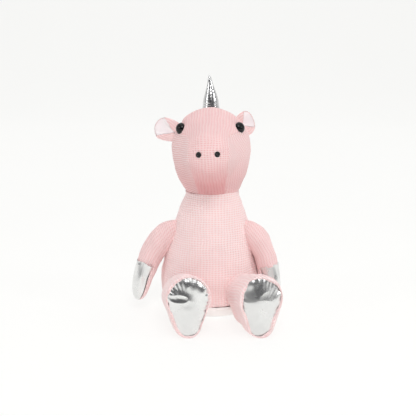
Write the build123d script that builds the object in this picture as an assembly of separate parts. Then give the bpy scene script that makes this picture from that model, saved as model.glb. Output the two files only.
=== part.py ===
"""Seated plush unicorn, sewn from waffle knit, metallic foil cloth and satin over fibre stuffing.

Row frame: millimetres, +Z up, the face looks towards -Y, and the origin is the middle of the flat
base panel, on the surface that the toy sits on. Left and right are the toy's own: its right is at -X.

Every fabric piece is a separate shell, every body of stuffing a separate solid. The limbs are stuffed
only up to a little before their seams, so that each limb flexes at its seam.
"""

import os
from math import asin, cos, radians, sin, sqrt

from build123d import *

# ---- driving dimensions -------------------------------------------------------------------------
CLOTH = 1.6              # thickness of a sewn cloth shell with its seam allowance
GAP = 0.3                # running clearance between pieces that move past each other
LIMB_HAIR, SKULL_HAIR = 0.15, 0.2    # one of two balls in the same place is this much smaller

BAND_HEIGHT = 12.5       # height of the pale woven band round the foot of the body
TORSO_PROFILE = [        # (radius, height) of the body from the flat base to the neck
    (47.0, 0.0), (51.5, 7.0), (54.8, 14.0), (57.2, 25.0),
    (56.0, 42.0), (48.5, 76.0), (38.5, 107.0), (29.5, 132.0),
]
POUCH_RADIUS, POUCH_HEIGHT, POUCH_CLOTH = 40.0, 24.0, 0.8
POUCH_ROUND = 0.4 * POUCH_HEIGHT

NECK_CENTRE = (0.0, 0.0, 152.0)      # where the head turns and nods
NECK_BALL = 33.0                     # round foot of the head's stuffing
NECK_SEAM_Z, NECK_SEAM_RADIUS, NECK_THREAD = 133.1, 28.9, 0.8
NECK_EDGE_Z = 134.2                  # lower edge of the head panels
HEAD_YAW, HEAD_ROLL = -2.9, -2.0     # the head looks and leans a little to the toy's right

SKULL_CENTRE, SKULL_RADIUS = (0.0, 2.0, 182.5), 42.0
HEAD_TOP = SKULL_CENTRE[2] + SKULL_RADIUS
MUZZLE_CENTRE, MUZZLE_RADIUS = (0.0, -44.0, 179.0), 26.0
# half width of the strip over the head: at the nose, at the eyes and at the back, with their depths
PANEL_PLAN = [(19.0, -90.0), (21.0, -62.0), (31.0, -16.0), (27.0, 60.0)]

HORN_BASE, HORN_LENGTH = (0.0, 16.0, 214.0), 47.0
HORN_PROFILE = [(10.0, 0.0), (8.9, 10.0), (6.6, 24.0), (3.4, 38.0)]   # (radius, height) below the tip
HORN_TIP_RADIUS = 1.2

EYE_RADIUS, EYE_DOME, EYE_RIM = 6.0, 4.2, 0.8
EYE_PLACE, EYE_OUT = (31.6, -13.0, 204.0), (0.80, -0.46, 0.38)
NOSTRIL_RADIUS, NOSTRIL_DOME, NOSTRIL_RIM = 3.0, 1.6, 0.4
NOSTRIL_PLACE, NOSTRIL_OUT = (9.4, -66.0, 188.0), (0.36, -0.86, 0.34)
SHANK_RADIUS, SHANK_LENGTH, WASHER_THICKNESS = 1.5, 8.0, 1.4
WASHER_SPREAD = 1.15                 # radius of a washer for each unit of its button's radius
WASHER_STANDOFF = 1.2                # how far a washer sits behind the cloth

EAR_BACK, EAR_LINING = 1.4, 1.0      # cloth thicknesses
EAR_STANDOFF = 2.0                   # room at the ear's root for it to fold
# right ear and left ear: root centre, direction of the ear, direction along the root
EARS = {
    "right": ((-39.0, 4.0, 199.0), (-0.95, -0.10, 0.20), (0.26, 0.0, 0.97), 25.0),
    "left": ((35.0, 4.0, 205.0), (0.80, 0.10, 0.60), (-0.56, 0.0, 0.83), 22.0),
}
EAR_ROOT_WIDTH, EAR_WIDTH = 20.0, 27.0

# arms: azimuth of the shoulder ahead of the side, then (outward, down, forward, radius) from it
SHOULDER_Z, SHOULDER_RADIUS, SIDE_LEAN = 93.0, 43.2, 17.0
ARMS = {
    "right": (12.0, [
        (1.0, 0.0, 0.0, 15.0), (14.0, 25.0, 0.0, 12.4), (17.5, 47.0, 0.0, 12.4), (17.0, 78.0, 3.0, 9.5),
    ]),
    "left": (25.0, [
        (1.0, 0.0, 0.0, 15.0), (13.6, 24.0, 0.0, 12.4), (13.6, 46.0, 0.0, 12.4), (12.0, 70.0, 3.0, 9.5),
    ]),
}
PALM_SHARE = 3.0                     # how far inside the hoof's middle its palm begins
SHOULDER_FLEX = (0.9, 1.5)           # the arm's stuffing starts this far out from the shoulder and below it

# legs: place of the hip on the floor plan, and how far the leg points away from straight ahead
LEGS = {"right": (-34.0, -51.0, 8.0), "left": (34.0, -51.0, 14.0)}
HIP_Z, LEG_LENGTH, LEG_ROOT_DEPTH = 22.0, 66.0, 14.0
LEG_ROOT = (28.0, 17.0, 11.0)        # section: height of the top circle, its radius, bottom radius
LEG_FOOT = (43.6, 23.4, 8.5)
SOLE_INSET = 2.6                     # width of the knit rim round the foil sole
HIP_FLEX = 24.0                      # the leg's stuffing starts this far from the hip


# ---- helpers ------------------------------------------------------------------------------------
def whole(shape):
    """Any result of a boolean as one compound of solids."""
    return Compound(children=list(shape.solids()))


def revolved(edges):
    """The solid that a closed outline in the XZ plane sweeps round the Z axis."""
    return revolve(Face(Wire(edges)), axis=Axis.Z)


def aimed(origin, direction):
    """A place at origin whose local +Z points along direction."""
    return Plane(origin=origin, z_dir=direction).location


def capsule(start, start_radius, end, end_radius):
    """The tight skin over two balls: a cone between two round ends."""
    along = Vector(*end) - Vector(*start)
    lean = asin((start_radius - end_radius) / along.length)

    def on_ball(radius, height, angle):
        return (radius * cos(angle), 0, height + radius * sin(angle))

    foot = on_ball(start_radius, 0, radians(-90))
    foot_mid = on_ball(start_radius, 0, (lean + radians(-90)) / 2)
    low = on_ball(start_radius, 0, lean)
    high = on_ball(end_radius, along.length, lean)
    top_mid = on_ball(end_radius, along.length, (lean + radians(90)) / 2)
    top = (0, 0, along.length + end_radius)
    edges = [
        ThreePointArc((0, 0, foot[2]), foot_mid, low),
        Line(low, high),
        ThreePointArc(high, top_mid, top),
        Line(top, (0, 0, foot[2])),
    ]
    return aimed(start, along) * revolved(edges)


def chain(balls, shrink=0.0):
    """Capsules through (point, radius) balls. A shared ball is a hair smaller in the later capsule."""
    links = []
    for i in range(len(balls) - 1):
        (p, r), (q, s) = balls[i], balls[i + 1]
        hair = LIMB_HAIR if i else 0.0
        links.append(capsule(p, r - shrink - hair, q, s - shrink))
    body = links[0]
    for link in links[1:]:
        body = body + link
    return body


def half_space(point, direction, size=900.0):
    """A large block on the side of the plane through point that direction points to."""
    return aimed(point, direction) * (Pos(0, 0, size / 2) * Box(size, size, size))


# ---- torso --------------------------------------------------------------------------------------
def torso_solid(grow=0.0):
    """The body as a turned solid, grown or shrunk by an amount."""
    outline = [(r + grow, z) for r, z in TORSO_PROFILE]
    low = -grow if grow < 0 else 0.0
    foot, neck = (outline[0][0], 0, low), (outline[-1][0], 0, outline[-1][1])
    side = Spline([foot] + [(r, 0, z) for r, z in outline[1:]])
    edges = [Line((0, 0, low), foot), side, Line(neck, (0, 0, neck[2])), Line((0, 0, neck[2]), (0, 0, low))]
    return revolved(edges)


def build_torso():
    outer, inner = torso_solid(), torso_solid(-CLOTH)
    socket = Pos(*NECK_CENTRE) * Sphere(NECK_BALL + GAP)
    shell = outer - inner - socket
    band = Pos(0, 0, BAND_HEIGHT / 2 - 1) * Cylinder(2 * TORSO_PROFILE[0][0], BAND_HEIGHT + 2)
    knit = shell - band
    front = knit & half_space((0, 0, 0), (0, -1, 0))
    back = knit & half_space((0, 0, 0), (0, 1, 0))
    pouch = Pos(0, 0, CLOTH + POUCH_HEIGHT / 2) * Cylinder(POUCH_RADIUS, POUCH_HEIGHT)
    pouch = fillet(pouch.edges().filter_by(GeomType.CIRCLE), POUCH_ROUND)
    fill_size = (POUCH_RADIUS - POUCH_CLOTH, POUCH_HEIGHT - 2 * POUCH_CLOTH)
    fill = Pos(0, 0, CLOTH + POUCH_HEIGHT / 2) * Cylinder(*fill_size)
    fill = fillet(fill.edges().filter_by(GeomType.CIRCLE), POUCH_ROUND - POUCH_CLOTH)
    return {
        "body_front_panel": front,
        "body_back_panel_left": back & half_space((0, 0, 0), (1, 0, 0)),
        "body_back_panel_right": back & half_space((0, 0, 0), (-1, 0, 0)),
        "base_panel": shell & band,
        "body_stuffing": inner - socket - pouch,
        "pellet_pouch": pouch - fill,
        "pellet_fill": fill,
    }


def build_neck():
    return {"neck_seam": Pos(0, 0, NECK_SEAM_Z) * Torus(NECK_SEAM_RADIUS, NECK_THREAD)}


# ---- head ---------------------------------------------------------------------------------------
def head_solid(shrink=0.0):
    """Skull ball, muzzle ball and neck ball under one skin."""
    skull = SKULL_RADIUS - shrink
    nose = capsule(SKULL_CENTRE, skull, MUZZLE_CENTRE, MUZZLE_RADIUS - shrink)
    nape = capsule(SKULL_CENTRE, skull - SKULL_HAIR, NECK_CENTRE, NECK_BALL - shrink)
    return nose + nape


def safety_button(radius, dome, rim, place, out):
    """A moulded button with its shank, and the washer that locks it behind the cloth."""
    reach = (radius**2 - dome**2) / (2 * dome)       # depth of the dome's centre below its rim
    ball = sqrt(radius**2 + reach**2)
    crown = (0, 0, rim + dome)
    mid_angle = (radians(90) + asin(reach / ball)) / 2
    shoulder = (radius, 0, rim)
    middle = (ball * cos(mid_angle), 0, rim - reach + ball * sin(mid_angle))
    edges = [
        Line((0, 0, -SHANK_LENGTH), (SHANK_RADIUS, 0, -SHANK_LENGTH)),
        Line((SHANK_RADIUS, 0, -SHANK_LENGTH), (SHANK_RADIUS, 0, 0)),
        Line((SHANK_RADIUS, 0, 0), (radius, 0, 0)),
        Line((radius, 0, 0), shoulder),
        ThreePointArc(shoulder, middle, crown),
        Line(crown, (0, 0, -SHANK_LENGTH)),
    ]
    disc = Cylinder(radius * WASHER_SPREAD, WASHER_THICKNESS) - Cylinder(SHANK_RADIUS, WASHER_THICKNESS)
    washer = Pos(0, 0, -CLOTH - WASHER_STANDOFF - WASHER_THICKNESS / 2) * disc
    spot = aimed(place, out)
    return spot * revolved(edges), spot * washer


def mirrored(vector, side):
    """A point or direction given for the toy's left, on the side asked for."""
    x, y, z = vector
    return (x if side == "left" else -x, y, z)


def horn_solid(shrink=0.0):
    """The horn's cone, before it is fitted to the head."""
    outline = [(r - shrink, 0, z) for r, z in HORN_PROFILE]
    tip = (HORN_TIP_RADIUS - shrink / 2, 0, HORN_LENGTH - HORN_TIP_RADIUS - shrink)
    side = Spline(outline + [tip])
    edges = [
        Line((0, 0, 0), outline[0]),
        side,
        Line(tip, (0, 0, tip[2])),
        Line((0, 0, tip[2]), (0, 0, 0)),
    ]
    return Pos(*HORN_BASE) * revolved(edges)


def build_head():
    outer, inner = head_solid(), head_solid(CLOTH)
    above = half_space((0, 0, NECK_EDGE_Z), (0, 0, 1))
    shell = (outer - inner) & above
    foot = (Pos(*NECK_CENTRE) * Sphere(NECK_BALL)) & half_space((0, 0, NECK_EDGE_Z), (0, 0, -1))
    stuffing = (inner & above) + foot
    parts = {}
    for side in ("left", "right"):
        eye = safety_button(EYE_RADIUS, EYE_DOME, EYE_RIM, mirrored(EYE_PLACE, side), mirrored(EYE_OUT, side))
        nostril = safety_button(NOSTRIL_RADIUS, NOSTRIL_DOME, NOSTRIL_RIM,
                                mirrored(NOSTRIL_PLACE, side), mirrored(NOSTRIL_OUT, side))
        parts[f"eye_{side}"], parts[f"eye_washer_{side}"] = eye
        parts[f"nostril_{side}"], parts[f"nostril_washer_{side}"] = nostril
    for piece in parts.values():
        shell = shell - piece
        stuffing = stuffing - piece
    right_edge = [(-x, y) for x, y in PANEL_PLAN]
    left_edge = list(reversed(PANEL_PLAN))
    strip = extrude(Face(Wire.make_polygon(right_edge + left_edge)), 2 * HEAD_TOP, dir=(0, 0, 1))
    parts["head_centre_panel"] = shell & strip
    cheeks = shell - strip
    parts["head_side_panel_left"] = cheeks & half_space((0, 0, 0), (1, 0, 0))
    parts["head_side_panel_right"] = cheeks & half_space((0, 0, 0), (-1, 0, 0))
    parts["head_stuffing"] = stuffing
    horn_stuffing = horn_solid(CLOTH)
    parts["horn_cover"] = horn_solid() - horn_stuffing - outer
    parts["horn_stuffing"] = horn_stuffing - outer
    return parts


def head_place():
    """Turns the head about the neck by its resting yaw and roll."""
    return Pos(*NECK_CENTRE) * Rot(0, 0, HEAD_YAW) * Rot(0, HEAD_ROLL, 0) * Pos(*(-c for c in NECK_CENTRE))


# ---- ears ---------------------------------------------------------------------------------------
def build_ear(side):
    """A two-layer ear: knit behind, satin in front, flat against each other."""
    root, out, along, length = EARS[side]
    radius = EAR_WIDTH / 2
    centre_y = length - radius
    frame = Plane(origin=Vector(*root) + Vector(*out).normalized() * EAR_STANDOFF, x_dir=along,
                  z_dir=Vector(*along).cross(Vector(*out)))
    flip = 1 if frame.y_dir.dot(Vector(*out)) > 0 else -1
    half_root = EAR_ROOT_WIDTH / 2
    outline = [
        Line((-half_root, 0), (half_root, 0)),
        Line((half_root, 0), (radius, flip * centre_y)),
        ThreePointArc((radius, flip * centre_y), (0, flip * length), (-radius, flip * centre_y)),
        Line((-radius, flip * centre_y), (-half_root, 0)),
    ]
    front = -1 if frame.z_dir.Y > 0 else 1           # local side that faces the toy's front
    face = Face(Wire(outline))
    lining = extrude(face, EAR_LINING) if front > 0 else Pos(0, 0, -EAR_LINING) * extrude(face, EAR_LINING)
    back = Pos(0, 0, -EAR_BACK) * extrude(face, EAR_BACK) if front > 0 else extrude(face, EAR_BACK)
    return {f"ear_back_{side}": frame.location * back, f"ear_lining_{side}": frame.location * lining}


# ---- arms ---------------------------------------------------------------------------------------
def shoulder_axes(side):
    """The shoulder's point on the body, and its outward, downward and forward directions."""
    azimuth = radians(ARMS[side][0])
    lean = radians(SIDE_LEAN)
    mirror = 1 if side == "left" else -1
    point = Vector(mirror * SHOULDER_RADIUS * cos(azimuth), -SHOULDER_RADIUS * sin(azimuth), SHOULDER_Z)
    outward = Vector(mirror * cos(lean) * cos(azimuth), -cos(lean) * sin(azimuth), sin(lean))
    down = Vector(mirror * sin(lean) * cos(azimuth), -sin(lean) * sin(azimuth), -cos(lean))
    forward = Vector(-mirror * sin(azimuth), -cos(azimuth), 0)
    return point, outward, down, forward


def build_arm(side, body_room):
    point, outward, down, forward = shoulder_axes(side)
    balls = [
        (tuple(point + outward * a + down * b + forward * c), radius)
        for a, b, c, radius in ARMS[side][1]
    ]
    outer, inner = chain(balls) - body_room, chain(balls, CLOTH)
    wrist, tip = Vector(*balls[2][0]), Vector(*balls[3][0])
    shell = outer - inner
    beyond_wrist = half_space(tuple(wrist), tuple(tip - wrist))
    hoof = shell & beyond_wrist
    palm_side = half_space(tuple(wrist - outward * PALM_SHARE), tuple(-outward))
    beside = half_space(tuple(point + outward * SHOULDER_FLEX[0]), tuple(outward))
    below = half_space(tuple(point + down * SHOULDER_FLEX[1]), tuple(down))
    return {
        f"arm_cover_{side}": shell - beyond_wrist,
        f"hoof_cover_{side}": hoof - palm_side,
        f"hoof_palm_{side}": hoof & palm_side,
        f"arm_stuffing_{side}": inner & beside & below,
    }


# ---- legs ---------------------------------------------------------------------------------------
def teardrop(y, section, inset):
    """A teardrop outline, round end up and narrow end down, at depth y, inset all round."""
    top_z, top_radius, bottom_radius = section
    lean = asin((top_radius - bottom_radius) / (top_z - bottom_radius))
    top, low = top_radius - inset, bottom_radius - inset
    right_top = (top * cos(lean), y, top_z - top * sin(lean))
    left_top = (-right_top[0], y, right_top[2])
    right_low = (low * cos(lean), y, bottom_radius - low * sin(lean))
    left_low = (-right_low[0], y, right_low[2])
    edges = [
        ThreePointArc(left_top, (0, y, top_z + top), right_top),
        Line(right_top, right_low),
        ThreePointArc(right_low, (0, y, bottom_radius - low), left_low),
        Line(left_low, left_top),
    ]
    return Face(Wire(edges))


def build_leg(side, body_room):
    x, y, turn = LEGS[side]
    place = Pos(x, y, 0) * Rot(0, 0, turn)

    def tapered(inset):
        ends = [teardrop(LEG_ROOT_DEPTH, LEG_ROOT, inset), teardrop(-LEG_LENGTH, LEG_FOOT, inset)]
        return loft(ends, ruled=True)

    outer = tapered(0)
    inner = tapered(CLOTH) & half_space((0, -LEG_LENGTH + CLOTH, 0), (0, 1, 0))
    sole = extrude(teardrop(-LEG_LENGTH, LEG_FOOT, SOLE_INSET), CLOTH, dir=(0, 1, 0))
    cover = place * (outer - inner - sole) - body_room
    stuffing = inner & half_space((0, -HIP_FLEX, 0), (0, -1, 0))
    return {
        f"leg_cover_{side}": cover,
        f"sole_{side}": place * sole,
        f"leg_stuffing_{side}": place * stuffing,
    }


# ---- the whole toy ------------------------------------------------------------------------------
def build_all():
    parts = {}
    parts.update(build_torso())
    parts.update(build_neck())
    head = build_head()
    for side in ("left", "right"):
        head.update(build_ear(side))
    parts.update({name: head_place() * piece for name, piece in head.items()})
    body_room = torso_solid(GAP)
    for side in ("left", "right"):
        parts.update(build_arm(side, body_room))
        parts.update(build_leg(side, body_room))
    return parts


def main():
    os.makedirs("parts", exist_ok=True)
    for name, piece in build_all().items():
        export_step(whole(piece), f"parts/{name}.step")


main()
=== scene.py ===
"""The looks of a seated plush unicorn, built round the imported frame.

Lengths are in millimetres until a mesh is made. The toy faces -Y. Left and right are its own, so its
right is at -X. Each panel of cloth is a grid of points: a base surface, swollen by a cloth simulation
on a coarse copy of the grid, then given the relief of its knit or the creases of its foil.
"""
import math

import bpy
import numpy as np
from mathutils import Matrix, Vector


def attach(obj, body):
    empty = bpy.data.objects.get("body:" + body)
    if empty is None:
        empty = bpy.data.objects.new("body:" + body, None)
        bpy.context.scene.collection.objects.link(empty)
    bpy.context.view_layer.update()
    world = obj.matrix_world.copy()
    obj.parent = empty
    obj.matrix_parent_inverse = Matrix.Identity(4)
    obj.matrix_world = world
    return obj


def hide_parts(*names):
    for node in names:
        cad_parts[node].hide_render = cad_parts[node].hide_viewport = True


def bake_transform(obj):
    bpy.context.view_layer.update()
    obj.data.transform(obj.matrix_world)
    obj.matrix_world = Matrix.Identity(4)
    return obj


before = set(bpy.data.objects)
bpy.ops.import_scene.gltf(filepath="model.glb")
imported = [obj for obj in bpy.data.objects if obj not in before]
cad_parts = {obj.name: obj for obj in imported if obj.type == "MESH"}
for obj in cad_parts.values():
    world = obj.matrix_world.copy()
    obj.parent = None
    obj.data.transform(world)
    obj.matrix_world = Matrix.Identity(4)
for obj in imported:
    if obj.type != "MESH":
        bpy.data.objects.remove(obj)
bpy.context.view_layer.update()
MM = 0.001
SIDES = ("left", "right")

# ---- measures repeated from the CAD, in millimetres and degrees ---------------------------------
TORSO_PROFILE = [
    (46.6, 0.4), (51.2, 7.0), (54.6, 14.0), (57.2, 25.0), (56.4, 42.0), (52.8, 59.0), (48.5, 76.0),
    (43.6, 92.0), (38.6, 107.0), (34.0, 120.0), (30.4, 129.0),
]
BAND_TOP = 12.5
NECK_CENTRE = np.array((0.0, 0.0, 152.0))
HEAD_YAW, HEAD_ROLL = -2.9, -2.0
SHOULDER_Z, SHOULDER_RADIUS, SIDE_LEAN = 93.0, 43.2, 17.0
SHOULDER_AZIMUTH = {"right": 12.0, "left": 25.0}
LEGS = {"right": (-34.0, -51.0, 8.0), "left": (34.0, -51.0, 14.0)}
LEG_LENGTH, ROOT_DEPTH = 66.0, 14.0
LEG_ROOT, LEG_FOOT = (28.0, 17.5, 12.0), (43.0, 23.6, 14.5)
SOLE_INSET = 3.2
ROOT_MIDDLE, SOLE_MIDDLE = 22.0, 33.0          # heights at which a leg's hidden end and its sole close
# an ear seen from the front, as (x, z) in the head's straight pose: where its fold lines meet, its
# root, the middles of its upper and lower edges, and its rim from the upper corner to the lower
EARS = {
    "right": {
        "y": 1.0, "apex": (-40.6, 199.6), "root": ((-33.0, 208.0), (-40.0, 189.4)),
        "upper": [(-42.8, 214.1)], "lower": [(-52.1, 191.5), (-58.6, 194.1)],
        "rim": [(-49.9, 216.2), (-54.8, 215.2), (-59.2, 211.6), (-61.9, 206.5), (-62.0, 201.2),
                (-60.1, 196.8)],
    },
    "left": {
        "y": 4.0, "apex": (35.1, 204.2), "root": ((26.5, 211.0), (34.8, 192.8)),
        "upper": [(32.8, 217.4)], "lower": [(42.9, 194.6), (47.0, 198.2)],
        "rim": [(37.3, 220.1), (41.4, 219.6), (44.9, 216.4), (47.2, 212.0), (48.5, 207.5), (48.5, 202.9)],
    },
}
FLOOR_GAP = 0.3              # nothing of the toy is nearer to the floor
FILLING_INSET, LIMB_INSET = 4.5, 4.0           # how far fillings lie inside their covers
MAP_SCALE = 0.01             # of the maps of plain cloth, for each millimetre
KNIT_PITCH = (3.3, 2.4)      # one cell of the waffle knit, across and along
LUMP_SIZES, LUMP_SEED = (38.0, 15.0), 3        # of the stuffing, the same for all panels so that seams close
SEAM_REACH, SEAM_DEPTH = 0.9, 0.45             # how wide and how deep cloth is drawn in at a seam
DRIFT, DRIFT_SIZE = 0.28, 23.0                 # how far the knit strays from straight rows, and how slowly
# the simulated cloth, and the pressure of the stuffing on it
CLOTH = {"quality": 5, "mass": 0.2, "tension_stiffness": 14, "compression_stiffness": 14,
         "shear_stiffness": 5, "bending_stiffness": 0.3, "use_pressure": True,
         "uniform_pressure_force": 150.0}
CLOTH_FRAMES = 20            # how long each panel's cloth is simulated
RIPPLE_PASSES = 3            # how often the simulated shape is smoothed
DEEPEST_SAG = -0.3           # the furthest that cloth may sink towards its stuffing


# ---- small mathematics --------------------------------------------------------------------------
def unit(v):
    """Vectors of length one, along the last axis."""
    v = np.asarray(v, float)
    return v / np.maximum(np.linalg.norm(v, axis=-1, keepdims=True), 1e-12)


def curve(a, b, c, d, f):
    """A smooth curve between b and c, at f from 0 to 1, with a and d as the neighbours beyond them."""
    return 0.5 * (2 * b + (c - a) * f + (2 * a - 5 * b + 4 * c - d) * f**2 + (3 * b - a - 3 * c + d) * f**3)


def through(points, t):
    """Values at t, from 0 to 1, of a smooth curve through evenly spaced points."""
    points = np.asarray(points, float)
    if points.ndim == 1:
        return through(points[:, None], t)[..., 0]
    last = len(points) - 1
    x = np.clip(np.asarray(t, float), 0, 1) * last
    i = np.clip(np.floor(x).astype(int), 0, last - 1)
    f = (x - i)[..., None]
    return curve(*(points[np.clip(i + k, 0, last)] for k in (-1, 0, 1, 2)), f)


def noise(points, size, seed):
    """Smooth noise, mostly between -1 and 1, whose lumps are about size across."""
    rng = np.random.default_rng(seed)
    total = 0.0
    waves = 14
    for _ in range(waves):
        wave = unit(rng.normal(size=points.shape[-1])) * 2 * math.pi / size * rng.uniform(0.6, 1.4)
        total = total + np.sin(points @ wave + rng.uniform(0, 2 * math.pi))
    return total / math.sqrt(waves / 2)


def ease(x, low, high):
    """0 below low, 1 above high, smooth between."""
    t = np.clip((x - low) / (high - low), 0, 1)
    return t * t * (3 - 2 * t)


def arc(points, axis):
    """Length along a grid's rows or columns, from its first point."""
    steps = np.linalg.norm(np.diff(points, axis=axis), axis=-1)
    start = np.zeros_like(np.take(steps, [0], axis=axis))
    return np.concatenate([start, np.cumsum(steps, axis=axis)], axis=axis)


def turned(points, axis, degrees, centre):
    """Points turned about a row axis (2 for Z, 1 for Y) through centre."""
    a, p = math.radians(degrees), points - centre
    c, s = math.cos(a), math.sin(a)
    about_z, about_y = [[c, -s, 0], [s, c, 0], [0, 0, 1]], [[c, 0, s], [0, 1, 0], [-s, 0, c]]
    return p @ np.array(about_z if axis == 2 else about_y).T + centre


def head_to_row(points):
    """From the head's own straight pose to its resting place in the row frame."""
    return turned(turned(np.asarray(points, float), 1, HEAD_ROLL, NECK_CENTRE), 2, HEAD_YAW, NECK_CENTRE)


# ---- grids --------------------------------------------------------------------------------------
def sampled(surface, rows, cols, wrap):
    """surface(v, u) on a grid; v runs down the rows and u along them, both from 0 to 1."""
    v = np.linspace(0, 1, rows)[:, None]
    u = (np.arange(cols) / cols if wrap else np.linspace(0, 1, cols))[None, :]
    return surface(v + 0 * u, u + 0 * v)


def along(values, count, axis, wrap):
    """A grid resampled to count lines along one axis by a smooth curve."""
    values = np.moveaxis(values, axis, 0)
    n = len(values)
    x = np.arange(count) * (n / count if wrap else (n - 1) / (count - 1))
    i = np.floor(x).astype(int)
    f = (x - i).reshape((-1,) + (1,) * (values.ndim - 1))
    four = (values[(i + k) % n if wrap else np.clip(i + k, 0, n - 1)] for k in (-1, 0, 1, 2))
    return np.moveaxis(curve(*four, f), 0, axis)


def normals(points, wrap, away_from=None, towards=None):
    """(unit normals, whether the grid's own winding faces inwards)."""
    if wrap:
        across = np.roll(points, -1, 1) - np.roll(points, 1, 1)
    else:
        across = np.gradient(points, axis=1)
    n = unit(np.cross(across, np.gradient(points, axis=0)))
    weak = np.linalg.norm(n, axis=-1) < 0.5
    for row in (0, -1):
        if weak[row].any():
            n[row] = unit(n[row + (1 if row == 0 else -1)].mean(axis=0))
    reference = points - (points.mean(axis=(0, 1)) if away_from is None else away_from)
    reference = reference if towards is None else np.broadcast_to(towards, points.shape)
    inward = float(np.sum(n * reference)) < 0
    return (-n if inward else n), inward


def mesh_object(name, points, wrap, inward, uv=None, keep=None, fields=None):
    """A quad mesh from a grid. keep marks the points whose faces stay; fields are numbers per point."""
    rows, cols = points.shape[:2]
    across = cols if wrap else cols - 1
    r, c = np.meshgrid(np.arange(rows - 1), np.arange(across), indexing="ij")
    corners = [(r, c), (r, c + 1), (r + 1, c + 1), (r + 1, c)]
    if inward:
        corners.reverse()
    quads = np.stack([(i * cols + j % cols).ravel() for i, j in corners], axis=1)
    wide = across + 1
    loops_uv = np.stack([(i * wide + j).ravel() for i, j in corners], axis=1)
    if keep is not None:
        stay = keep.reshape(-1)[quads].any(axis=1)
        quads, loops_uv = quads[stay], loops_uv[stay]
    used, packed = np.unique(quads.ravel(), return_inverse=True)
    quads = packed.reshape(quads.shape)
    mesh = bpy.data.meshes.new(name)
    mesh.vertices.add(len(used))
    mesh.vertices.foreach_set("co", (points.reshape(-1, 3)[used] * MM).ravel())
    mesh.loops.add(quads.size)
    mesh.loops.foreach_set("vertex_index", quads.ravel().astype(np.int32))
    mesh.polygons.add(len(quads))
    mesh.polygons.foreach_set("loop_start", np.arange(0, quads.size, 4, dtype=np.int32))
    mesh.update(calc_edges=True)
    if uv is not None:
        layer = mesh.uv_layers.new(name="cloth")
        layer.data.foreach_set("uv", uv.reshape(-1, 2)[loops_uv.ravel()].ravel())
    for field, values in (fields or {}).items():
        attribute = mesh.attributes.new(field, "FLOAT", "POINT")
        attribute.data.foreach_set("value", values.reshape(-1)[used].astype(np.float32))
    mesh.polygons.foreach_set("use_smooth", np.ones(len(quads), bool))
    obj = bpy.data.objects.new(name, mesh)
    bpy.context.scene.collection.objects.link(obj)
    return obj


def softened(values, wrap):
    """A grid of numbers with its small ripples taken out; its first and last rows stay."""
    for _ in range(RIPPLE_PASSES):
        sides = np.roll(values, 1, 1) + np.roll(values, -1, 1)
        if not wrap:
            sides[:, 0], sides[:, -1] = 2 * values[:, 0], 2 * values[:, -1]
        values = 0.5 * values + 0.25 * sides
        values[1:-1] = 0.5 * values[1:-1] + 0.25 * (values[:-2] + values[2:])
    return values


def stuffed(points, n, wrap, inward, pinned, slack, cap):
    """How far each point of a coarse grid moves when filling presses the cloth out between its seams."""
    obj = mesh_object("cloth_trial", points, wrap, inward)
    group = obj.vertex_groups.new(name="sewn")
    group.add([int(i) for i in np.flatnonzero(pinned.ravel())], 1.0, "REPLACE")
    cloth = obj.modifiers.new("cloth", "CLOTH")
    for setting, value in (CLOTH | {"vertex_group_mass": "sewn", "shrink_min": -slack}).items():
        setattr(cloth.settings, setting, value)
    cloth.settings.effector_weights.gravity = 0
    cloth.collision_settings.use_collision = False
    cloth.point_cache.frame_start, cloth.point_cache.frame_end = 1, CLOTH_FRAMES
    scene = bpy.context.scene
    for step in range(1, CLOTH_FRAMES + 1):
        scene.frame_set(step)
    seen = obj.evaluated_get(bpy.context.evaluated_depsgraph_get())
    moved = np.empty(len(obj.data.vertices) * 3)
    seen.data.vertices.foreach_get("co", moved)
    scene.frame_set(1)
    mesh = obj.data
    bpy.data.objects.remove(obj)
    bpy.data.meshes.remove(mesh)
    outward = softened(np.sum((moved.reshape(points.shape) / MM - points) * n, axis=-1), wrap)
    print(f"  cloth moved {outward.min():.2f} to {outward.max():.2f} mm")
    return np.clip(outward, DEEPEST_SAG, cap)[..., None] * n


def edges(rows, cols, top, bottom, sides):
    """Marks the outermost lines of a grid that are sewn down."""
    mark = np.zeros((rows, cols), bool)
    mark[0] |= top
    mark[-1] |= bottom
    if sides:
        mark[:, 0] = mark[:, -1] = True
    return mark


def dressed(obj, material, slot, node, body=None, fill=None):
    """A piece with its material, the CAD node that it replaces and the body that carries it; what it is, its
    slot, is not used.
    """
    obj.data.materials.append(MATERIALS[material])
    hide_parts(node)
    if body:
        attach(obj, body)
    return obj


# ---- relief and cloth coordinates ---------------------------------------------------------------
def cells(uv, seed):
    """Cloth coordinates in millimetres turned into knit cells, with the drift of hand-laid cloth."""
    drift = DRIFT * np.stack([noise(uv, DRIFT_SIZE, seed), noise(uv, DRIFT_SIZE, seed + 1)], axis=-1)
    return (uv + drift) / KNIT_PITCH


def waffle(cell, rib=0.65):
    """Height of the waffle knit, 1 on its ridges and 0 in its holes. rib weights rows over columns."""
    column = 0.5 + 0.5 * np.cos(2 * math.pi * cell[..., 0])
    row = 0.5 + 0.5 * np.cos(2 * math.pi * cell[..., 1])
    return 1 - 0.6 * column * row - 0.4 * ((1 - rib) * column + rib * row)


def seam_distance(points, top, bottom, sides):
    """How far each point is from the nearest of the seams along a grid's top, bottom and sides."""
    down, across = arc(points, 0), arc(points, 1)
    gap = np.full(points.shape[:2], 99.0)
    if top:
        gap = np.minimum(gap, down)
    if bottom:
        gap = np.minimum(gap, down[-1:] - down)
    if sides:
        gap = np.minimum(gap, np.minimum(across, across[:, -1:] - across))
    return gap


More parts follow.
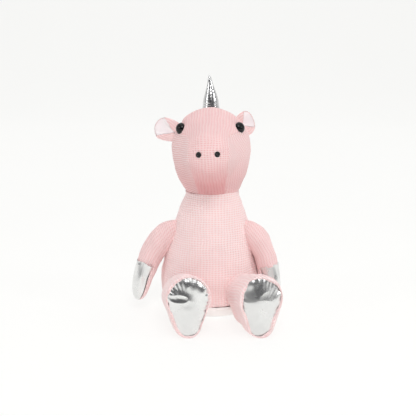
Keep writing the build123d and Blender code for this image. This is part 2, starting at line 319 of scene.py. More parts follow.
def lengths(points, wrap, middle, own_rows=False):
    """Cloth coordinates of a grid in millimetres: across from its middle column, and down that column,
    or down each point's own column where a bend makes them differ in length."""
    whole = np.concatenate([points, points[:, :1]], axis=1) if wrap else points
    across = arc(whole, 1)
    centre = int(round(middle * (whole.shape[1] - 1)))
    across = across - across[:, centre:centre + 1]
    down = arc(whole, 0)
    if not own_rows:
        down = down[:, centre:centre + 1] + 0 * across
    return np.stack([across, down], axis=-1)


def plain_piece(name, points, wrap, inward, material, slot, body, fill=None):
    """A piece without knit, whose map is laid out in its own measures."""
    obj = mesh_object(name, points, wrap, inward, lengths(points, wrap, 0.5) * MAP_SCALE)
    return dressed(obj, material, slot, name, body, fill)


def knit_piece(name, surface, fine, coarse, *, seed, lumps, cap, wrap=False, sewn=(True, True, True),
               seams=None, body=None, rib=0.65, relief=0.42, slack=0.012, uv_turn=0.0, middle=0.5,
               uv_from=None, own_rows=False, away_from=None, keep=None, dents=None, material="knit"):
    """One panel of waffle knit over stuffing, from surface(v, u) in millimetres. sewn says which of its top,
    bottom and sides stay put in the simulation; seams, where it differs, says which of them show a seam."""
    points = sampled(surface, *fine, wrap)
    rough = sampled(surface, *coarse, wrap)
    rough_n, inward = normals(rough, wrap, away_from)
    shift = stuffed(rough, rough_n, wrap, inward, edges(*coarse, *sewn), slack, cap)
    points = points + along(along(shift, fine[0], 0, False), fine[1], 1, wrap)
    n, inward = normals(points, wrap, away_from)
    large, small = (noise(points, size, LUMP_SEED + i) for i, size in enumerate(LUMP_SIZES))
    points = points + n * (lumps * large + 0.3 * lumps * small)[..., None]
    if dents is not None:
        points = points + n * dents(points)[..., None]
    gap = seam_distance(points, *(sewn if seams is None else seams))
    uv = lengths(points, wrap, middle, own_rows) if uv_from is None else uv_from(points)
    turn = math.radians(uv_turn)
    uv = uv @ np.array([[math.cos(turn), math.sin(turn)], [-math.sin(turn), math.cos(turn)]])
    cell = cells(uv, seed)
    height = waffle(cell[:, :-1] if wrap else cell, rib)
    near = np.exp(-(gap / SEAM_REACH) ** 2)
    points = points + n * (relief * (1 - near) * (height - 0.7) - SEAM_DEPTH * near)[..., None]
    points[..., 2] = np.maximum(points[..., 2], FLOOR_GAP)
    # painted shade: near each seam the knit's colour is drawn towards the darker seam colour
    shade = 1 - 0.22 * np.exp(-(gap / 1.0) ** 2)
    obj = mesh_object(name, points, wrap, inward, cell, keep(points) if keep else None, {"shade": shade})
    return dressed(obj, material, "pink_waffle_knit", name, body, 0.75)


# ---- materials ----------------------------------------------------------------------------------
class Nodes:
    """A node tree, with short calls for the nodes used here."""

    def __init__(self, owner, shader):
        owner.use_nodes = True
        self.tree = owner.node_tree
        self.shader = self.tree.nodes[shader]

    def node(self, kind, inputs=None, **settings):
        made = self.tree.nodes.new("ShaderNode" + kind)
        for key, value in settings.items():
            setattr(made, key, value)
        for socket, value in (inputs or {}).items():
            if isinstance(value, bpy.types.NodeSocket):
                self.tree.links.new(value, made.inputs[socket])
            else:
                made.inputs[socket].default_value = value
        return made

    def number(self, operation, a, b=0.0):
        return self.node("Math", {0: a, 1: b}, operation=operation).outputs[0]

    def between(self, value, low, high, out_low=0.0, out_high=1.0):
        inputs = {"Value": value, "From Min": low, "From Max": high, "To Min": out_low, "To Max": out_high}
        return self.node("MapRange", inputs).outputs["Result"]

    def blend(self, factor, a, b, mode="MIX"):
        made = self.node("Mix", {0: factor, 6: a, 7: b}, data_type="RGBA", blend_type=mode)
        return made.outputs[2]

    def noise(self, vector, scale, detail=3.0, roughness=0.55):
        inputs = {"Vector": vector, "Scale": scale, "Detail": detail, "Roughness": roughness}
        return self.node("TexNoise", inputs).outputs["Fac"]

    def attribute(self, name):
        return self.node("Attribute", attribute_name=name).outputs["Fac"]

    def place(self):
        return self.node("TexCoord").outputs["Object"]

    def cloth(self):
        return self.node("UVMap", uv_map="cloth").outputs["UV"]

    def bump(self, height, strength, distance):
        made = self.node("Bump", {"Height": height, "Strength": strength, "Distance": distance})
        self.tree.links.new(made.outputs["Normal"], self.shader.inputs["Normal"])

    def set(self, socket, value):
        self.tree.links.new(value, self.shader.inputs[socket])


class Surface(Nodes):
    """A material's node tree."""

    def __init__(self, name, **shader):
        self.material = bpy.data.materials.new(name)
        super().__init__(self.material, "Principled BSDF")
        for socket, value in shader.items():
            self.shader.inputs[socket.replace("_", " ")].default_value = value


def scaled(colour, factor):
    """A colour made darker or lighter."""
    return tuple(c * factor for c in colour[:3]) + (1,)


def knit_material(name, hollow, knot, seam, rib, muzzle_shade_share):
    """Waffle knit: rosy in its holes, pale on its ridges, with fuzzy yarn; the rosier holes are partly the
    knit's own look and partly painted shade. Its map counts knit cells.
    The cloth that curls under the muzzle is darkened by painted shade, by the share that the last argument
    gives."""
    m = Surface(name, Roughness=0.92, Sheen_Weight=0.12, Sheen_Roughness=0.5, Specular_IOR_Level=0.15)
    shade = m.attribute("shade")
    split = m.node("SeparateXYZ", {0: m.cloth()})
    waves = []
    for axis in ("X", "Y"):
        turn = m.number("MULTIPLY", split.outputs[axis], 2 * math.pi)
        waves.append(m.between(m.number("COSINE", turn), -1.0, 1.0))
    column, row = waves
    ribs = m.number("MULTIPLY", column, 0.4 * (1 - rib)), m.number("MULTIPLY", row, 0.4 * rib)
    sides = m.number("ADD", *ribs)
    hole = m.number("ADD", m.number("MULTIPLY", m.number("MULTIPLY", column, row), 0.6), sides)
    fuzz = m.noise(m.place(), 2400.0, 2.0)
    patches = m.noise(m.place(), 22.0, 3.0)
    uneven = m.number("MULTIPLY", m.number("SUBTRACT", fuzz, 0.5), 0.35)
    depth = m.number("ADD", hole, uneven)
    # partly painted shade: the holes take the rosier colour, the ridges the paler one
    yarn = m.blend(m.between(depth, 0.12, 0.85), knot, hollow)
    yarn = m.blend(m.between(patches, 0.3, 0.75, 0.0, 0.14), yarn, hollow)
    # painted shade under the muzzle: the colour is multiplied by a deeper pink low down and at the front
    if muzzle_shade_share:
        place = m.node("SeparateXYZ", {0: m.place()}).outputs
        low = m.between(place["Z"], *MUZZLE_SHADE_HEIGHTS, muzzle_shade_share, 0.0)
        ahead = m.between(place["Y"], *MUZZLE_SHADE_DEPTHS, 1.0, 0.0)
        yarn = m.blend(m.number("MULTIPLY", low, ahead), yarn, MUZZLE_SHADE_COLOUR, "MULTIPLY")
    # painted shade: the shade attribute mixes in the darker seam colour along seams
    m.set("Base Color", m.blend(shade, seam, yarn))
    m.bump(m.number("SUBTRACT", uneven, m.number("MULTIPLY", hole, 0.6)), 0.2, 0.0006)
    return m.material


def foil_material(name, colour, rough):
    """Metallic cloth: softly creased, with faint marks where the coating has rubbed."""
    m = Surface(name, Metallic=1.0)
    place = m.place()
    crease = m.noise(place, 70.0, 2.0, 0.4)
    fine = m.noise(place, 420.0, 2.0)
    marks = m.noise(place, 45.0, 4.0)
    m.set("Base Color", m.blend(m.between(marks, 0.35, 0.7), colour, scaled(colour, 0.9)))
    m.set("Roughness", m.between(marks, 0.3, 0.7, rough - 0.05, rough + 0.08))
    m.bump(m.number("ADD", crease, m.number("MULTIPLY", fine, 0.05)), 0.15, 0.0014)
    return m.material


def satin_material(name, colour, shadow):
    m = Surface(name, Roughness=0.34, Sheen_Weight=0.4, Anisotropic=0.5)
    threads = m.node("TexWave", {"Vector": m.cloth(), "Scale": 60.0, "Distortion": 1.0}).outputs["Fac"]
    patches = m.noise(m.place(), 120.0, 3.0)
    m.set("Base Color", m.blend(m.between(patches, 0.35, 0.7), colour, shadow))
    m.bump(threads, 0.12, 0.0002)
    return m.material


WEAVE_SCALE = 15.7 / 1.1


def woven_material(name, colour, shadow):
    """Plain weave with visible threads both ways."""
    m = Surface(name, Roughness=0.85, Sheen_Weight=0.15)
    inputs = {"Vector": m.cloth(), "Scale": WEAVE_SCALE}
    threads = [m.node("TexWave", inputs, bands_direction=axis).outputs["Fac"] for axis in "XY"]
    weave = m.number("MULTIPLY", *threads)
    dirt = m.noise(m.place(), 60.0, 3.0)
    m.set("Base Color", m.blend(m.between(m.number("ADD", weave, dirt), 0.3, 1.1), shadow, colour))
    m.bump(weave, 0.4, 0.0003)
    return m.material


def plastic_material(name, colour, rough, coat, light=1.25):
    """Moulded plastic: faint flow marks in its colour and gloss."""
    m = Surface(name, Coat_Weight=coat, Coat_Roughness=0.03, Specular_IOR_Level=0.02)
    flow = m.noise(m.place(), 180.0, 3.0)
    m.set("Base Color", m.blend(m.between(flow, 0.3, 0.8), colour, scaled(colour, light)))
    m.set("Roughness", m.between(flow, 0.3, 0.7, rough - 0.02, rough + 0.04))
    return m.material


def fibre_material(name, colour):
    m = Surface(name, Roughness=0.95, Sheen_Weight=0.5)
    wisps = m.noise(m.place(), 240.0, 6.0, 0.7)
    m.set("Base Color", m.blend(m.between(wisps, 0.3, 0.7), colour, scaled(colour, 0.85)))
    m.bump(wisps, 0.8, 0.002)
    return m.material


# painted shade under the muzzle: its colour, the heights in metres over which it fades out upwards, and the
# depths in metres over which it fades out backwards
MUZZLE_SHADE_COLOUR, MUZZLE_SHADE_HEIGHTS, MUZZLE_SHADE_DEPTHS = (0.86, 0.62, 0.63, 1), (0.146, 0.178), (-0.02, 0.02)


def make_materials():
    """One material for each kind of cloth, plastic and filling."""
    # the darker colour of the painted shade along seams
    seam = (0.84, 0.50, 0.50, 1)
    knits = {       # the colours of the holes and ridges, the share of rows in the ribs, and the share of painted shade under the muzzle
        "knit": ("waffle_knit", (0.90, 0.605, 0.60, 1), (0.945, 0.785, 0.775, 1), 0.65, 0.0),
        # sleeve, brow and cheek are deeper, darker copies of the one knit: painted shade on the arms and
        # head
        "sleeve": ("waffle_knit_sleeve_painted_shade", (0.85, 0.53, 0.53, 1), (0.915, 0.70, 0.69, 1), 0.65, 0.0),
        "brow": ("waffle_knit_brow_painted_shade", (0.82, 0.46, 0.465, 1), (0.89, 0.67, 0.66, 1), 0.65, 0.9),
        "cheek": ("waffle_knit_cheek_painted_shade", (0.77, 0.43, 0.43, 1), (0.88, 0.70, 0.69, 1), 0.85, 0.45),
    }
    made = {key: knit_material(name, hollow, knot, seam, rib, muzzle_shade_share)
            for key, (name, hollow, knot, rib, muzzle_shade_share) in knits.items()}
    return made | {
        "foil": foil_material("silver_foil", (0.86, 0.86, 0.85, 1), 0.27),
        "horn": foil_material("silver_foil_horn", (0.70, 0.70, 0.70, 1), 0.22),
        "satin": satin_material("pale_satin", (0.97, 0.91, 0.92, 1), (0.95, 0.85, 0.865, 1)),
        "woven": woven_material("cream_weave", (0.97, 0.955, 0.94, 1), (0.93, 0.90, 0.875, 1)),
        "black": plastic_material("black_button", (0.002, 0.002, 0.0022, 1), 0.08, 0.7),
        "bead": plastic_material("black_bead", (0.012, 0.012, 0.013, 1), 0.30, 0.6),
        "washer": plastic_material("white_washer", (0.7, 0.7, 0.68, 1), 0.45, 0.0, 1.1),
        "fibre": fibre_material("fibre_filling", (0.90, 0.90, 0.88, 1)),
        "pouch": woven_material("pouch_weave", (0.84, 0.84, 0.80, 1), (0.70, 0.70, 0.66, 1)),
        "thread": fibre_material("pink_thread", (0.88, 0.60, 0.60, 1)),
    }


MATERIALS = make_materials()


def filling(name, surface, shape, body=None):
    """The fibre inside a cover, seen only where the cover opens."""
    points = sampled(surface, *shape, True)
    n, inward = normals(points, True)
    points = points + n * (0.3 * noise(points, 9.0, 7))[..., None]
    points[..., 2] = np.maximum(points[..., 2], 2 * FLOOR_GAP)
    return plain_piece(name, points, True, inward, "fibre", "fibre_filling", body)


# ---- torso --------------------------------------------------------------------------------------
def torso_profile(v):
    """(radius, height) at v, from 0 at the band's top edge to 1 at the neck."""
    t = np.linspace(0, 1, 400)
    table = through(TORSO_PROFILE, t)
    lip = [(30.1, 131.4), (30.0, 133.0), (29.3, 134.1), (28.2, 134.3)]
    table = np.concatenate([table, lip])
    table = table[table[:, 1] >= BAND_TOP]
    length = np.concatenate([[0], np.cumsum(np.linalg.norm(np.diff(table, axis=0), axis=1))])
    return (np.interp(v * length[-1], length, table[:, 0]), np.interp(v * length[-1], length, table[:, 1]))


def ring(radius, angle, height):
    """A point at a radius and height, its angle measured from the front towards the toy's left."""
    return np.stack([radius * np.sin(angle), -radius * np.cos(angle), height], axis=-1)


def torso_surface(start, end):
    """Part of the body between two azimuths, measured from the front towards the toy's left."""
    def surface(v, u):
        radius, height = torso_profile(v)
        return ring(radius, np.radians(start + (end - start) * u), height)
    return surface


def build_torso():
    core = np.array((0.0, 0.0, 60.0))
    spans = {"body_front_panel": (-90, 90, 0.5), "body_back_panel_left": (90, 180, 1.0),
             "body_back_panel_right": (180, 270, 0.0)}
    for i, (name, (start, end, middle)) in enumerate(spans.items()):
        fine = (300, 300 if end - start > 100 else 170)
        coarse = (28, 36 if end - start > 100 else 19)
        knit_piece(name, torso_surface(start, end), fine, coarse, sewn=(True, True, True),
                   seams=(True, False, True), body="torso", seed=11 + 7 * i, away_from=core,
                   middle=middle, lumps=0.5, cap=1.6)

    def inside(v, u):
        radius, height = torso_profile(1 - 0.97 * v)
        closing = ease(v, 0.93, 1.0)
        radius = (radius - FILLING_INSET) * (1 - 0.96 * closing)
        height = height - 3.5 * ease(1 - v, 0.93, 1.0)
        return ring(radius, 2 * math.pi * u, height)
    filling("body_stuffing", inside, (80, 120), "torso")
    build_base()


def build_base():
    """The boxed base: a round bottom and a pale border, tucked under the knit."""
    rim = [(0.3, 0.5), (15.0, 0.5), (30.0, 0.5), (43.0, 0.5), (46.4, 0.9), (48.4, 2.6), (50.6, 6.0),
           (53.0, 10.0), (54.4, 13.6)]

    def surface(v, u):
        spot = through(rim, v)
        angle = 2 * math.pi * u
        wave = 0.25 * np.sin(angle * 17 + 2 * np.sin(3 * angle)) * ease(v, 0.6, 0.9)
        return ring(spot[..., 0] + wave, angle, spot[..., 1])
    points = sampled(surface, 60, 260, True)
    _, inward = normals(points, True, np.array((0.0, 0.0, 20.0)))
    plain_piece("base_panel", points, True, inward, "woven", "cream_woven", "torso", 0.4)


# ---- head ---------------------------------------------------------------------------------------
HEAD_CORE = np.array((0.0, -8.0, 175.0))       # every ray from here leaves the head once
NECK_CUT = 124.0
HEAD_BONES = [                                 # round cones: centre, radius, centre, radius
    ((0, 2, 182.3), 41.4, (0, -2, 169), 38.5),
    ((0, -2, 169), 38.5, (0, 0, 152), 33.4),
    ((0, 1, 182.4), 40.0, (0, -45, 181), 25.4),
    ((0, -40, 174), 23.0, (0, -4, 160), 30.0),
]
HEAD_BLEND = 5.0
CHEEK_TURN = {"right": 84, "left": 60}         # how the knit of each cheek is laid, in degrees
# half width of the strip over the head, by direction: degrees forward from straight up, millimetres
STRIP_EDGE = [(-180, 22), (-150, 24), (-90, 28), (-30, 31), (5, 32), (24, 32.5), (34, 29), (46, 23.5),
              (60, 20.5), (90, 19.8), (110, 19), (130, 17), (150, 15), (180, 14)]


def round_cone(p, a, ra, b, rb):
    """Signed distance to the skin over two balls."""
    a, b = np.array(a, float), np.array(b, float)
    ba = b - a
    l2 = ba @ ba
    rr = ra - rb
    a2 = l2 - rr * rr
    pa = p - a
    y = pa @ ba
    z = y - l2
    cross = pa * l2 - ba * y[..., None]
    x2 = np.sum(cross * cross, axis=-1)
    y2, z2 = y * y * l2, z * z * l2
    k = np.sign(rr) * rr * rr * x2
    far = np.sqrt(x2 + z2) / l2 - rb
    near = np.sqrt(x2 + y2) / l2 - ra
    side = (np.sqrt(x2 * a2 / l2) + y * rr) / l2 - ra
    return np.where(np.sign(z) * a2 * z2 > k, far, np.where(np.sign(y) * a2 * y2 < k, near, side))


def head_distance(p):
    total = 0.0
    for a, ra, b, rb in HEAD_BONES:
        total = total + np.exp(-round_cone(p, a, ra, b, rb) / HEAD_BLEND * 2)
    return -np.log(total) * HEAD_BLEND / 2


def head_reach(direction):
    """How far the head's skin is from its core along each direction."""
    low, high = np.full(direction.shape[:-1], 15.0), np.full(direction.shape[:-1], 90.0)
    for _ in range(17):
        middle = (low + high) / 2
        inside = head_distance(HEAD_CORE + direction * middle[..., None]) < 0
        low, high = np.where(inside, middle, low), np.where(inside, high, middle)
    floor = (NECK_CUT - HEAD_CORE[2]) / np.minimum(direction[..., 2], -1e-6)
    return np.minimum(low, np.where(direction[..., 2] < 0, floor, 1e9))


def head_direction(tilt, lean):
    """tilt turns forward from straight up in the middle plane; lean turns towards the toy's left."""
    return np.stack([np.sin(lean), -np.sin(tilt) * np.cos(lean), np.cos(tilt) * np.cos(lean)], axis=-1)


def head_point(tilt, lean):
    direction = head_direction(tilt, lean)
    return HEAD_CORE + direction * head_reach(direction)[..., None]


def strip_lean_table():
    """Lean at which the strip's edge lies, for each whole degree of tilt."""
    tilt = np.radians(np.arange(-180, 181))
    width = np.interp(np.arange(-180, 181), *zip(*STRIP_EDGE))
    soft = np.convolve(np.pad(width, 8, mode="edge"), np.ones(17) / 17, mode="valid")
    lean = np.arcsin(soft / 45)
    for _ in range(8):
        lean = np.arcsin(np.clip(soft / head_reach(head_direction(tilt, lean)), 0, 0.95))
    return lean


STRIP_LEAN = strip_lean_table()


def strip_lean(tilt):
    return np.interp(np.degrees(tilt), np.arange(-180, 181), STRIP_LEAN)


# where each button sits on the skin, and the way it faces, both as on the toy's left
EYES = {"right": (31.2, -13.5, 205.0), "left": (31.2, -13.5, 203.4)}
NOSTRILS = {"right": (9.6, -67.0, 184.2), "left": (9.6, -67.0, 184.2)}
EYE_OUT, NOSTRIL_OUT = (0.73, -0.60, 0.33), (0.30, -0.93, 0.18)


def sided(vector, side):
    return np.asarray(vector) * (1 if side == "left" else -1, 1, 1)


def button_spot(places, side):
    """The point of the head's skin on the line from its core through a button's place."""
    direction = unit(sided(places[side], side) - HEAD_CORE)
    return HEAD_CORE + direction * head_reach(direction)[..., None]


def head_dents(points):
    """Cloth drawn in round the eyes and nostrils, in the row frame."""
    total = 0.0
    for side in SIDES:
        for places, depth, width in ((EYES, 1.8, 8.0), (NOSTRILS, 1.0, 4.0)):
            middle = head_to_row(button_spot(places, side))
            total = total - depth * np.exp(-np.sum((points - middle) ** 2, axis=-1) / width**2)
    return total


def build_head():
    core = head_to_row(HEAD_CORE)

    def kept(points):
        straight = turned(turned(points, 2, -HEAD_YAW, NECK_CENTRE), 1, -HEAD_ROLL, NECK_CENTRE)
        return straight[..., 2] > NECK_CUT + 1.0

    def strip(v, u):
        tilt = np.radians(-165 + 330 * v)
        return head_to_row(head_point(tilt, strip_lean(tilt) * (2 * u - 1)))
    shared = {"body": "head", "away_from": core, "keep": kept, "dents": head_dents, "lumps": 0.4, "cap": 0.7}
    knit_piece("head_centre_panel", strip, (790, 118), (64, 15), seams=(False, False, True), seed=41,
               material="brow", **shared)
    for side in SIDES:
        m = 1 if side == "left" else -1

        def cheek(v, u, m=m):
            tilt = math.pi * (2 * u - 1)
            edge = strip_lean(tilt)
            return head_to_row(head_point(tilt, m * (edge + (math.radians(89.6) - edge) * v)))

        def flat(points, m=m):
            """Cloth coordinates spread out from the middle of the cheek."""
            whole = np.concatenate([points, points[:, :1]], axis=1)
            out = arc(whole[::-1], 0)[::-1]
            angle = (2 * math.pi * np.arange(whole.shape[1]) / (whole.shape[1] - 1))[None, :]
            return np.stack([out * np.cos(angle), m * out * np.sin(angle)], axis=-1)
        knit_piece(f"head_side_panel_{side}", cheek, (120, 520), (14, 60), wrap=True,
                   sewn=(True, False, False), seed=51 + 3 * (m > 0), uv_from=flat, uv_turn=CHEEK_TURN[side],
                   rib=0.8, material="cheek", **shared)

    def inside(v, u):
        tilt, lean = math.pi * (2 * u - 1), math.radians(88) * (2 * v - 1)
        direction = head_direction(tilt, lean)
        return head_to_row(HEAD_CORE + direction * (head_reach(direction) - FILLING_INSET)[..., None])
    filling("head_stuffing", inside, (60, 120), "head")


def button(name, profile, origin, axis, material):
    """A turned button on the head from (radius, height) points, closed at both ends of its profile."""
    axis = unit(axis)
    side = unit(np.cross(axis, (0.0, 0.0, 1.0) if abs(axis[2]) < 0.9 else (1.0, 0.0, 0.0)))
    other = np.cross(axis, side)

    def surface(v, u):
        spot = through(profile, v)
        a = 2 * math.pi * u
        out = np.cos(a)[..., None] * side + np.sin(a)[..., None] * other
        return origin + out * spot[..., :1] + axis * spot[..., 1:]
    points = sampled(surface, 40, 48, True)
    _, inward = normals(points, True)
    plain_piece(name, points, True, inward, material, "black_moulded_plastic", "head")


def build_face():
    eye = [(0.05, -3.0), (3.4, -2.9), (5.6, -2.0), (6.2, -0.6), (6.1, 0.5), (5.3, 1.9), (4.1, 3.0),
           (2.7, 3.7), (1.3, 4.1), (0.05, 4.2)]
    bead = [(0.05, -1.5), (1.6, -1.5), (2.7, -0.9), (3.05, 0.0), (2.9, 0.7), (2.3, 1.3), (1.6, 1.45),
            (1.15, 1.2), (0.6, 1.0), (0.05, 0.95)]
    kinds = {       # places, facing, profile, material, and how far the button stands off the skin
        "eye": (EYES, EYE_OUT, eye, "black", 0.3),
        "nostril": (NOSTRILS, NOSTRIL_OUT, bead, "bead", -0.3),
    }
    for side in SIDES:
        for kind, (places, out, profile, material, lift) in kinds.items():
            spot = button_spot(places, side)
            axis = head_to_row(spot + sided(out, side)) - head_to_row(spot)
            button(f"{kind}_{side}", profile, head_to_row(spot) + unit(axis) * lift, axis, material)


def build_horn():
    """A cone of foil with creases round it, narrowing above a shoulder."""
    base, length, creases = np.array((0.0, 16.0, 214.0)), 47.4, 15
    width = [11.3, 10.4, 9.6, 9.0, 8.4, 7.2, 5.7, 4.2, 2.9, 1.9, 0.3]

    def surface(v, u):
        angle = 2 * math.pi * u
        around = np.stack([np.cos(angle), np.sin(angle), 5 * v], axis=-1)
        radius = through(width, v)
        fold = np.sin(2 * math.pi * (v * creases + 0.3 * noise(around, 2.6, 5)))
        crease = 0.06 * fold * (0.55 + 0.45 * noise(around, 1.7, 6)) * ease(v, 0.1, 0.35)
        radius = radius + crease * ease(1 - v, 0.0, 0.15) * np.minimum(1, radius / 4)
        bend = 0.7 * np.sin(math.pi * v)
        return head_to_row(ring(radius, angle, length * v) + base + np.stack([bend, 0 * v, 0 * v], axis=-1))
    points = sampled(surface, 260, 130, True)
    _, inward = normals(points, True)
    plain_piece("horn_cover", points, True, inward, "horn", "silver_foil_cloth", "head", 0.9)


# ---- ears ---------------------------------------------------------------------------------------
EAR_FLEX = (4.0, 13.0)       # two distances out from an ear's root; the points there are worked out but not used, and the ear does not bend
EAR_CLOTH = 0.6              # thickness of each of its layers


def ear_surfaces(side):
    """The knit back, with the flaps that fold over its front, and the satin between the flaps."""
    ear = EARS[side]
    apex, rim = np.array(ear["apex"]), np.array(ear["rim"])
    upper = [ear["root"][0], *ear["upper"], rim[0]]
    lower = [ear["root"][1], *ear["lower"], rim[-1]]
    flap, hem = 0.17, 0.6
    belly = [4.6, 4.4, 3.9, 3.0, 2.1, 1.2]

    def placed(plan, depth):
        return head_to_row(np.stack([plan[..., 0], ear["y"] + depth, plan[..., 1]], axis=-1))

    def back(v, u):
        s = np.clip((u - flap) / (1 - 2 * flap), 0, 1)
        over = np.clip((flap - u) / flap, 0, 1), np.clip((u - 1 + flap) / flap, 0, 1)
        top, bottom = through(upper, v), through(lower, v)
        s_, v_ = s[..., None], v[..., None]
        plan = (1 - s_) * top + s_ * bottom + v_ * (through(rim, s) - (1 - s_) * rim[0] - s_ * rim[-1])
        plan = plan + over[0][..., None] * (apex + v_ * (rim[0] - apex) - top)
        plan = plan + over[1][..., None] * (apex + v_ * (rim[-1] - apex) - bottom)
        fold = over[0] + over[1]
        lift = 1.1 * np.sin(0.5 * math.pi * np.minimum(1.6 * fold, 1))
        return placed(plan, through(belly, v) * np.sin(math.pi * s) ** 0.8 - lift)

    def lining(v, u):
        edge = through(rim, u)
        edge = edge - unit(edge - apex) * hem
        plan = apex + v[..., None] * (edge - apex)
        hollow = 1.9 * np.sin(math.pi * u) * np.sin(0.8 * math.pi * v)
        ridges = sum(np.exp(-((u - place) / 0.035) ** 2) for place in (0.11, 0.86)) * np.sin(math.pi * v)
        wave = 0.35 * np.sin(5 * u + 3 * v + 1) * v
        return placed(plan, hollow - 0.5 * ridges - 0.5 + 0.3 * wave)
    return back, lining


def build_ears():
    ahead = np.array((0.0, -1.0, 0.0))
    for side in SIDES:
        ear = EARS[side]
        root = np.mean(ear["root"], axis=0)
        out = unit(np.mean(ear["rim"], axis=0) - root)
        places = (root + out * distance for distance in EAR_FLEX)
        start, end = (head_to_row(np.array((x, ear["y"], z))) * MM for x, z in places)
        for layer, surface in zip(("back", "lining"), ear_surfaces(side)):
            points = sampled(surface, 90, 170, False)
            n, inward = normals(points, False, towards=ahead)
            if layer == "back":
                inward = not inward
                cell = 1.3 * cells(lengths(points, False, 0.5), 71)
                points = points + n * (0.3 * (waffle(cell) - 0.7))[..., None]
                fields = {"shade": np.ones(points.shape[:2])}
            else:
                cell, fields = lengths(points, False, 0.5) * MAP_SCALE, None
            obj = mesh_object(f"ear_{layer}_{side}", points, False, inward, cell, None, fields)
            thick = obj.modifiers.new("cloth", "SOLIDIFY")
            thick.thickness, thick.offset = EAR_CLOTH * MM, 1.0
            looks = ("knit", "pink_waffle_knit") if layer == "back" else ("satin", "pale_pink_satin")
            dressed(obj, *looks, f"ear_{layer}_{side}")
            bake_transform(obj)


# ---- arms ---------------------------------------------------------------------------------------
# centreline as (outward, down, forward, radius) from the shoulder
ARMS = {
    "right": [(-7, 0, 0, 11.0), (3, 6.5, 0, 13.2), (10.5, 18, 0, 13.4), (15.5, 33, 0, 12.7),
              (17.6, 48, 0.5, 12.5), (18.0, 62, 1.5, 11.3), (17.4, 76, 2.5, 9.2), (16.8, 89.0, 3.5, 5.5)],
    "left": [(-7, 0, 0, 11.0), (2.5, 6, 0, 12.8), (8.8, 16, 0, 13.2), (11.6, 30, 0, 12.7),
             (11.8, 45, 0.5, 12.5), (11.8, 58, 1.5, 11.3), (11.2, 71, 2.5, 9.2), (10.9, 82.5, 3.5, 5.5)],
}
WRIST, CUFF = 4 / 7, 0.012   # along the arm: where the hoof starts, and how far sleeve and hoof overlap
PALM_HALF = 70.0          # degrees of the hoof's girth on each side of its inner line


def shoulder(side):
    """The shoulder's point and its outward, downward and forward directions."""
    azimuth, lean = math.radians(SHOULDER_AZIMUTH[side]), math.radians(SIDE_LEAN)
    m = 1 if side == "left" else -1
    away = np.array((m * math.cos(azimuth), -math.sin(azimuth), 0.0))
    up = np.array((0.0, 0.0, 1.0))
    point = SHOULDER_RADIUS * away + SHOULDER_Z * up
    outward = math.cos(lean) * away + math.sin(lean) * up
    down = math.sin(lean) * away - math.cos(lean) * up
    forward = np.array((-m * math.sin(azimuth), -math.cos(azimuth), 0.0))
    return point, outward, down, forward


def arm_point(side, s, angle, grow=0.0):
    """A point on the arm: s along it from 0 to 1, angle round it from its outer line towards the front."""
    point, outward, down, forward = shoulder(side)
    line = through(ARMS[side], s)
    step = 0.004
    tangent = unit((through(ARMS[side], s + step) - through(ARMS[side], s - step))[..., :3])
    across = unit(np.stack([tangent[..., 1], -tangent[..., 0], 0 * tangent[..., 0]], axis=-1))
    front = unit(np.cross(tangent, across))
    front = front * np.sign(front[..., 2:])
    flat = 0.72 + 0.16 * ease(s, 0.0, 0.35)
    radius = line[..., 3] + grow
    tip = np.clip((1 - s) / 0.11, 0, 1)
    radius = np.maximum(radius * np.sqrt(np.clip(tip * (2 - tip), 0, 1)), 0.05)
    sideways, ahead = radius * np.cos(angle), flat * radius * np.sin(angle)
    local = line[..., :3] + across * sideways[..., None] + front * ahead[..., None]
    return point + local[..., :1] * outward + local[..., 1:2] * down + local[..., 2:3] * forward


def foil_piece(name, surface, shape, wrap, body, seed, lift, away_from=None, towards=None):
    """A piece of foil cloth with soft creases, and the further relief that lift gives."""
    points = sampled(surface, *shape, wrap)
    n, inward = normals(points, wrap, away_from, towards)
    amount = 0.2 * (1 - 1.6 * np.abs(noise(points, 34.0, seed))) + lift(points)
    points = points + n * amount[..., None]
    points[..., 2] = np.maximum(points[..., 2], FLOOR_GAP)
    plain_piece(name, points, wrap, inward, "foil", "silver_foil_cloth", body, 0.8)


def build_arms():
    for side in SIDES:
        point, outward, down, _ = shoulder(side)
        body = f"arm_{side}"

        def cover(v, u, side=side):
            return arm_point(side, v * (WRIST + CUFF), 2 * math.pi * u)
        sleeve = knit_piece(f"arm_cover_{side}", cover, (150, 150), (18, 22), wrap=True,
                            sewn=(True, True, False), seams=(False, True, False), seed=81 + (side == "left"),
                            lumps=0.6, cap=0.9, slack=0.015, own_rows=True, material="sleeve")

        def inside(v, u, side=side):
            return arm_point(side, 0.06 + 0.88 * v, 2 * math.pi * u, -LIMB_INSET)
        stuffing = filling(f"arm_stuffing_{side}", inside, (60, 40))
        for piece in (sleeve, stuffing):
            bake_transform(piece)

        def hoof(v, u, side=side):
            angle = np.radians(-(180 - PALM_HALF) + 2 * (180 - PALM_HALF) * u)
            pucker = 0.2 * np.sin(26 * angle + 2 * np.sin(5 * angle)) * np.exp(-v / 0.12)
            edge = 0.004 * np.sin(5 * angle) + 0.0015 * np.sin(23 * angle)
            rim = 0.35 * np.exp(-v / 0.05) + 0.3
            hem = -1.6 * np.exp(-((1 - np.abs(2 * u - 1)) / 0.03) ** 2)
            s = WRIST - CUFF + edge * (1 - v) + (1 - WRIST + CUFF) * v
            return arm_point(side, s, angle, rim + pucker + hem)

        def palm(v, u, side=side):
            angle = np.radians(180 - PALM_HALF + 2 * PALM_HALF * u)
            return arm_point(side, WRIST + (1 - WRIST) * v, angle)

        def creased(points, side=side):
            return 0.55 * noise(points * (1.0, 1.0, 0.3), 11.0, 93 + (side == "left"))
        heart = arm_point(side, np.array(0.75), np.array(0.0))
        foil_piece(f"hoof_cover_{side}", hoof, (150, 150), False, body, 91 + (side == "left"), creased,
                   away_from=heart - outward * 8)
        knit_piece(f"hoof_palm_{side}", palm, (110, 80), (14, 10), body=body, seed=95 + (side == "left"),
                   away_from=heart, lumps=0.3, cap=1.0, relief=0.3)


